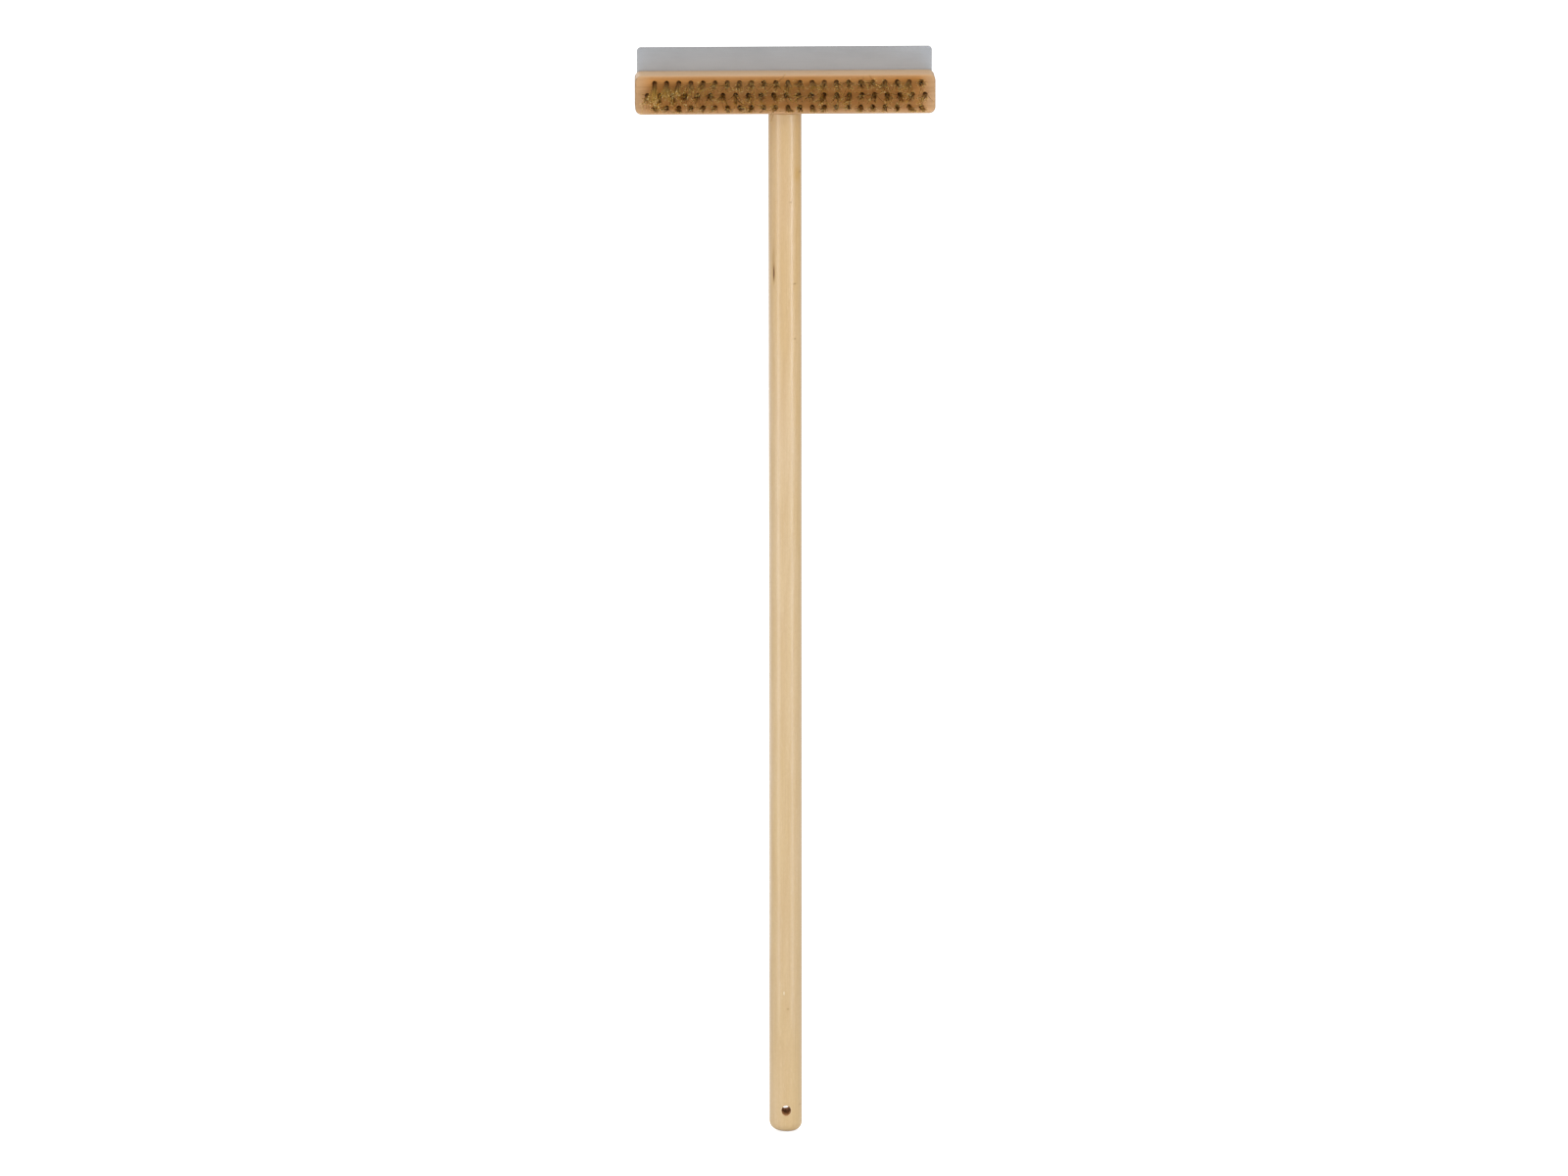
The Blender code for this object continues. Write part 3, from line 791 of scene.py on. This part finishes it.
def cut_tuft_holes(block, front, columns, hole_wall):
    bm = bmesh.new()
    wide = TUFT_HOLE_RADIUS + MOUTH_FLARE
    profile = [(0, CLEAR), (wide, CLEAR), (wide, 0), (TUFT_HOLE_RADIUS, -MOUTH_DEPTH)]
    profile += [(TUFT_HOLE_RADIUS, TUFT_HOLE_CONE - TUFT_HOLE_DEPTH), (0, -TUFT_HOLE_DEPTH)]
    for roots in columns:
        for x, z in roots:
            turned(bm, profile, TUFT_HOLE_SIDES, Matrix.Translation((x, front, z)) @ facing((0, -1, 0)))
    cut(block, new_object("tuft_hole_cutter", mesh_of(bm, "tuft_hole_cutter")), hole_wall)


def cut_screw_holes(block, hole_wall):
    bm = bmesh.new()
    for node in SCRAPER_SCREWS:
        low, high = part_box(node)
        depth = high.y - low.y
        profile = [(0, 0), (SCREW_HOLE_RADIUS, 0), (SCREW_HOLE_RADIUS, -depth), (0, -depth - GAP)]
        turned(bm, profile, SCREW_HOLE_SIDES, backward_at(node))
    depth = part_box("handle_screw")[1].y  # as deep as the handle's axis, at y = 0
    wide = ROUND_HEAD_RADIUS + GAP
    profile = [(0, CLEAR), (wide, CLEAR), (wide, 0), (SCREW_HOLE_RADIUS, -FLAT_HEAD_HEIGHT)]
    profile += [(SCREW_HOLE_RADIUS, -depth), (0, -depth)]
    turned(bm, profile, HEAD_SIDES, backward_at("handle_screw"))
    cut(block, new_object("screw_hole_cutter", mesh_of(bm, "screw_hole_cutter")), hole_wall)


def make_block(material, hole_wall, columns):
    low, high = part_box("head_block")
    block = plate("block_wood", low, high, (BLOCK_CORNER, BLOCK_CORNER), material)
    soften(block, BLOCK_EDGE, BLOCK_EDGE_STEPS)
    cut_tuft_holes(block, low.y, columns, hole_wall)
    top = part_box("handle")[1].z + 2 * GAP
    wide, bottom = TENON_RADIUS + GAP, low.z - CLEAR
    socket = [(0, top), (wide, top), (wide, bottom), (0, bottom)]
    cut(block, turned_object("socket_cutter", socket, TENON_SIDES), hole_wall)
    cut_screw_holes(block, hole_wall)
    stand_for(settle(block, PLATE_SMOOTH), "head_block")


def make_blade(material):
    low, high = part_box("scraper_blade")
    blade = plate("blade_steel", low, high, (BLADE_LOW_CORNER, BLADE_TOP_CORNER), material)
    soften(blade, BLADE_EDGE, BLADE_EDGE_STEPS)
    bm = bmesh.new()
    profile = [(0, CLEAR), (SCREW_HOLE_RADIUS, CLEAR), (SCREW_HOLE_RADIUS, -CLEAR), (0, -CLEAR)]
    for node in SCRAPER_SCREWS:
        first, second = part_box(node)
        spot = ((first.x + second.x) / 2, high.y, (first.z + second.z) / 2)
        turned(bm, profile, SCREW_HOLE_SIDES, Matrix.Translation(spot) @ facing((0, 1, 0)))
    cut(blade, new_object("blade_hole_cutter", mesh_of(bm, "blade_hole_cutter")))
    stand_for(settle(blade, PLATE_SMOOTH), "scraper_blade")


def threaded(bm, top, length, place):
    """A wood screw's threaded shank below a neck, as one surface whose radius follows the helix."""
    steps = int(length / THREAD_PITCH * THREAD_STEPS)
    rings = []
    for k in range(steps + 1):
        down = length * k / steps
        into_tip = (down - length + SCREW_TIP) / SCREW_TIP
        taper = 1.0 if into_tip <= 0 else max(0.0, 1 - into_tip)
        rise = min(1.0, k / THREAD_START)
        ring = []
        for i in range(THREAD_SIDES):
            turn = math.tau * i / THREAD_SIDES
            wave = (down / THREAD_PITCH + i / THREAD_SIDES) % 1.0
            ridge = max(0.0, 1 - abs(wave - 0.5) * THREAD_STEEPNESS)
            radius = (SCREW_CORE + (SCREW_RADIUS - SCREW_CORE) * ridge * rise) * taper + SCREW_POINT
            spot = Vector((radius * math.cos(turn), radius * math.sin(turn), top - down))
            ring.append(bm.verts.new(place @ spot))
        rings.append(ring)
    for upper, lower in zip(rings, rings[1:]):
        for i in range(THREAD_SIDES):
            j = (i + 1) % THREAD_SIDES
            bm.faces.new([upper[i], lower[i], lower[j], upper[j]])
    bm.faces.new(list(reversed(rings[-1])))
    bm.faces.new(rings[0])


def make_screw(name, node, head_profile, head_top, material):
    """A zinc-plated cross-head wood screw at a CAD screw's place, its axis along Y and its head outside."""
    low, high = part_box(node)
    spot = ((low.x + high.x) / 2, high.y - head_top, (low.z + high.z) / 2)
    place = Matrix.Translation(spot) @ facing((0, 1, 0))
    neck_end = head_profile[-1][1] - SCREW_NECK
    bm = bmesh.new()
    turned(bm, head_profile + [(SCREW_RADIUS, neck_end), (0, neck_end)], HEAD_SIDES, place)
    screw = new_object(name, mesh_of(bm, name), material)
    length = high.y - low.y - head_top + neck_end
    threads = bmesh.new()
    threaded(threads, neck_end + SHANK_OVERLAP, length + SHANK_OVERLAP, place)
    shank = new_object(name + "_shank", mesh_of(threads, name + "_shank"))
    shank.hide_render = True
    join = screw.modifiers.new("Shank", "BOOLEAN")
    join.operation = "UNION"
    join.object = shank
    for turn in (0, math.pi / 2):
        cross = bmesh.new()
        middle = place @ Matrix.Translation((0, 0, head_top)) @ Matrix.Rotation(turn, 4, "Z")
        size = Matrix.Diagonal((CROSS_LENGTH, CROSS_WIDTH, 2 * CROSS_DEPTH, 1))
        bmesh.ops.create_cube(cross, size=1, matrix=middle @ size)
        cut(screw, new_object(f"{name}_cross", mesh_of(cross, name + "_cross")))
    stand_for(settle(screw, ROUND_SMOOTH), node)


def make_screws(material):
    dome = (ROUND_HEAD_RADIUS**2 + ROUND_HEAD_HEIGHT**2) / (2 * ROUND_HEAD_HEIGHT)
    lowest = math.degrees(math.asin((dome - ROUND_HEAD_HEIGHT) / dome))
    round_head = arc((0, ROUND_HEAD_HEIGHT - dome), dome, 90, lowest, ROUND_HEAD_STEPS)
    round_head = [(0, ROUND_HEAD_HEIGHT)] + round_head[1:] + [(SCREW_RADIUS, 0)]
    for i, node in enumerate(SCRAPER_SCREWS, 1):
        make_screw(f"round_screw_{i}", node, round_head, ROUND_HEAD_HEIGHT, material)
    flat_head = [(0, 0), (ROUND_HEAD_RADIUS, 0), (SCREW_RADIUS, -FLAT_HEAD_HEIGHT)]
    make_screw("countersunk_screw", "handle_screw", flat_head, 0, material)


# ---------------------------------------------------------------- wires


def tube(points, vertices, faces):
    """Adds a capped wire along points to lists of vertices and faces."""
    base = len(vertices)
    side = Vector((0.3, 0.2, 1)).normalized()
    count = len(points)
    for i, point in enumerate(points):
        ahead = points[min(i + 1, count - 1)] - points[max(i - 1, 0)]
        ahead.normalize()
        side = (side - ahead * side.dot(ahead)).normalized()
        other = ahead.cross(side)
        for k in range(WIRE_SIDES):
            turn = math.tau * k / WIRE_SIDES
            vertices.append(point + (side * math.cos(turn) + other * math.sin(turn)) * WIRE_RADIUS)
    for i in range(count - 1):
        here, following = base + i * WIRE_SIDES, base + (i + 1) * WIRE_SIDES
        for k in range(WIRE_SIDES):
            m = (k + 1) % WIRE_SIDES
            faces.append((here + k, here + m, following + m, following + k))
    last = base + (count - 1) * WIRE_SIDES
    faces.append(tuple(base + k for k in reversed(range(WIRE_SIDES))))
    faces.append(tuple(last + k for k in range(WIRE_SIDES)))


def leg(rng, root, lean, length, front, row, room):
    """Points of half a wire, from its hole to its tip. Room is how far it may lean down, left and right."""
    stray = rng.random() < STRAY_SHARE
    spread = STRAY_SPLAY if stray else SPLAY[row]
    sideways, upwards = rng.gauss(0, spread), rng.gauss(0, spread)
    outward = Vector((root[0], 0, root[1])) / ROOT_SPREAD
    drift = Vector((lean[0] + sideways + outward.x * FAN, 0, lean[1] + upwards + outward.z * FAN))
    least = (-room[0] - root[1]) / length
    if drift.z < least:
        drift.z = least + 0.5 * (least - drift.z)
    drift.x = max(-room[1] / length, min(room[2] / length, drift.x))
    curl = Vector((rng.gauss(0, 1), 0, rng.gauss(0, 1))).normalized()
    phase = rng.uniform(0, math.tau)
    points = []
    for i in range(LEG_POINTS):
        share = i / (LEG_POINTS - 1)
        out = length * share
        wave = math.sin(math.tau * out / CRIMP_LENGTH + phase) * CRIMP_HEIGHT * min(1.0, share * CRIMP_RISE)
        bend = STRAIGHTNESS + (1 - STRAIGHTNESS) * share
        points.append(Vector((root[0], front - out, root[1])) + drift * out * bend + curl * wave)
    return points


def hairpin(rng, centre, lean, length, front, row, room):
    """One wire folded in two over the anchor at the bottom of its hole."""
    angle = rng.uniform(0, math.tau)
    spread = ROOT_SPREAD * math.sqrt(rng.random())
    first = (spread * math.cos(angle), spread * math.sin(angle))
    second = (first[0] + rng.gauss(0, ROOT_PAIR), first[1] + rng.gauss(0, ROOT_PAIR))
    shrink = min(1.0, ROOT_SPREAD / max(math.hypot(*second), 1e-9))
    second = (second[0] * shrink, second[1] * shrink)
    lengths = [length * rng.uniform(*LENGTH_SHARES) for _ in range(2)]
    legs = [leg(rng, root, lean, reach, front, row, room) for root, reach in zip((first, second), lengths)]
    bottom = front + ANCHOR_DEPTH
    down = [Vector((root[0], bottom - ANCHOR_BEND, root[1])) for root in (first, second)]
    middle = (down[0] + down[1]) / 2
    fold = [down[0], Vector((middle.x, bottom, middle.z)), down[1]]
    points = list(reversed(legs[0])) + fold + legs[1]
    return [point + Vector((centre[0], 0, centre[1])) for point in points]


def add_tuft(rng, centre, lean, length, front, row, room, vertices, faces):
    hanging = row == 0 and abs(centre[0] - HANGING_SPOT) < SPOT_REACH
    raised = row == 2 and abs(centre[0] - RAISED_SPOT) < SPOT_REACH
    for count in range(HAIRPINS):
        way, space = lean, room
        if hanging and count == 0:
            way = (lean[0] + HANGING_WAY[0], HANGING_WAY[1])
            space = (math.inf, room[1], room[2])
        elif raised and count < RAISED_WIRES:
            way = RAISED_WAY
        tube(hairpin(rng, centre, way, length, front, row, space), vertices, faces)


def make_tufts(material, columns, front):
    rng = random.Random(SEED)
    last = len(columns) - 1
    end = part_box("head_block")[1].x - END_MARGIN
    for number, roots in enumerate(columns):
        node = f"tuft_column_{number + 1:02d}"
        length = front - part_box(node)[0].y
        swept = max(0.0, 1 - number / (DROOP_SHARE * last))
        vertices, faces = [], []
        for row, centre in enumerate(roots):
            pull = swept * DROOP[row]
            sideways = rng.gauss(*TUFT_LEAN) - DROOP_SIDEWAYS * pull
            lean = (sideways, rng.gauss(LIFT[row], LIFT_SPREAD) - pull)
            below = LOWEST_DROP + centre[1] - roots[0][1]
            room = (below, centre[0] + end, end - centre[0])
            add_tuft(rng, centre, lean, length, front, row, room, vertices, faces)
        mesh = bpy.data.meshes.new(f"brass_wires_{number + 1:02d}")
        mesh.from_pydata(vertices, [], faces)
        mesh.shade_smooth()
        mesh.update()
        stand_for(new_object(mesh.name, mesh, material), node)


# ---------------------------------------------------------------- stage


def make_floor():
    mesh = bpy.data.meshes.new("floor")
    half = FLOOR_HALF
    corners = [(-half, -half, 0), (half, -half, 0), (half, half, 0), (-half, half, 0)]
    mesh.from_pydata(corners, [], [(0, 1, 2, 3)])
    shader = Shader("pale_floor")
    shader.surface.inputs["Base Color"].default_value = (0.8, 0.8, 0.8, 1)
    shader.surface.inputs["Roughness"].default_value = 0.9
    shader.surface.inputs["Specular IOR Level"].default_value = 0.0
    shader.surface.inputs["Emission Color"].default_value = (1, 1, 1, 1)
    seen = shader.node("ShaderNodeLightPath").outputs["Is Camera Ray"]
    shader.set(shader.surface.inputs["Emission Strength"], shader.times(seen, FLOOR_GLOW))
    floor = new_object("floor", mesh, shader.material)
    floor.location.z = -FLOOR_DROP


def add_softbox(name, place, aim, size, radiance, colour=(1, 1, 1)):
    light = bpy.data.lights.new(name, "AREA")
    light.color = colour
    light.shape = "RECTANGLE"
    light.size, light.size_y = size
    light.energy = radiance * math.pi * size[0] * size[1]
    made = bpy.data.objects.new(name, light)
    made.location = place
    made.rotation_euler = (Vector(aim) - Vector(place)).to_track_quat("-Z", "Y").to_euler()
    made.visible_camera = False
    bpy.context.scene.collection.objects.link(made)
    return made


def add_strip(name, turn, distance, width, height, radiance, low):
    """A tall softbox beside the handle that gives it a soft upright highlight and no other light."""
    angle = math.radians(turn)
    middle = low + height / 2
    place = (distance * math.sin(angle), -distance * math.cos(angle), middle)
    strip = add_softbox(name, place, (0, 0, middle), (width, height), radiance, STRIP_COLOUR)
    strip.visible_diffuse = False


def make_world():
    world = bpy.data.worlds.new("studio")
    world.use_nodes = True
    tree = world.node_tree
    ray = tree.nodes.new("ShaderNodeLightPath")
    strength = tree.nodes.new("ShaderNodeMapRange")
    strength.inputs["To Min"].default_value = WORLD_LIGHT
    strength.inputs["To Max"].default_value = WORLD_SEEN
    tree.links.new(ray.outputs["Is Camera Ray"], strength.inputs["Value"])
    background = tree.nodes["Background"]
    background.inputs["Color"].default_value = (1, 1, 1, 1)
    tree.links.new(strength.outputs[0], background.inputs["Strength"])
    bpy.context.scene.world = world


def make_camera():
    camera = bpy.data.cameras.new("camera")
    camera.sensor_width = 36
    camera.lens = VIEW_LENS
    camera.clip_end = 100
    made = bpy.data.objects.new("camera", camera)
    level = math.cos(VIEW_ELEVATION)
    back = Vector((-level * math.sin(VIEW_TURN), -level * math.cos(VIEW_TURN), math.sin(VIEW_ELEVATION)))
    made.location = VIEW_AIM + back * VIEW_DISTANCE
    made.rotation_euler = (-back).to_track_quat("-Z", "Y").to_euler()
    made.rotation_euler.rotate_axis("Z", -VIEW_ROLL)
    bpy.context.scene.collection.objects.link(made)
    bpy.context.scene.camera = made


def main():
    bpy.context.scene.view_settings.view_transform = "Standard"
    make_camera()
    columns = [tuft_roots(f"tuft_column_{i:02d}") for i in range(1, COLUMNS + 1)]
    heights = [z for roots in columns for _, z in roots]
    rows = (min(heights), max(heights))
    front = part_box("head_block")[0].y
    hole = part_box("handle")[0].z + HANGING_HOLE_HEIGHT
    make_handle(make_handle_wood(hole), make_drilled_wood("drilled_handle_wood", *DRILLED_HANDLE))
    # painted shade on the walls of the block's holes
    hole_wall = make_drilled_wood("shaded_block_hole_wood", *DRILLED_BLOCK_SHADE)
    make_block(make_block_wood(rows, front), hole_wall, columns)
    make_blade(make_blade_steel(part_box("scraper_blade")[1].z))
    make_screws(make_zinc())
    make_tufts(make_brass(front, cad_bounds[0][1], rows[0]), columns, front)
    make_floor()
    for strip in STRIPS:
        add_strip(*strip)
    for softbox in SOFTBOXES:
        add_softbox(*softbox)
    make_world()


main()
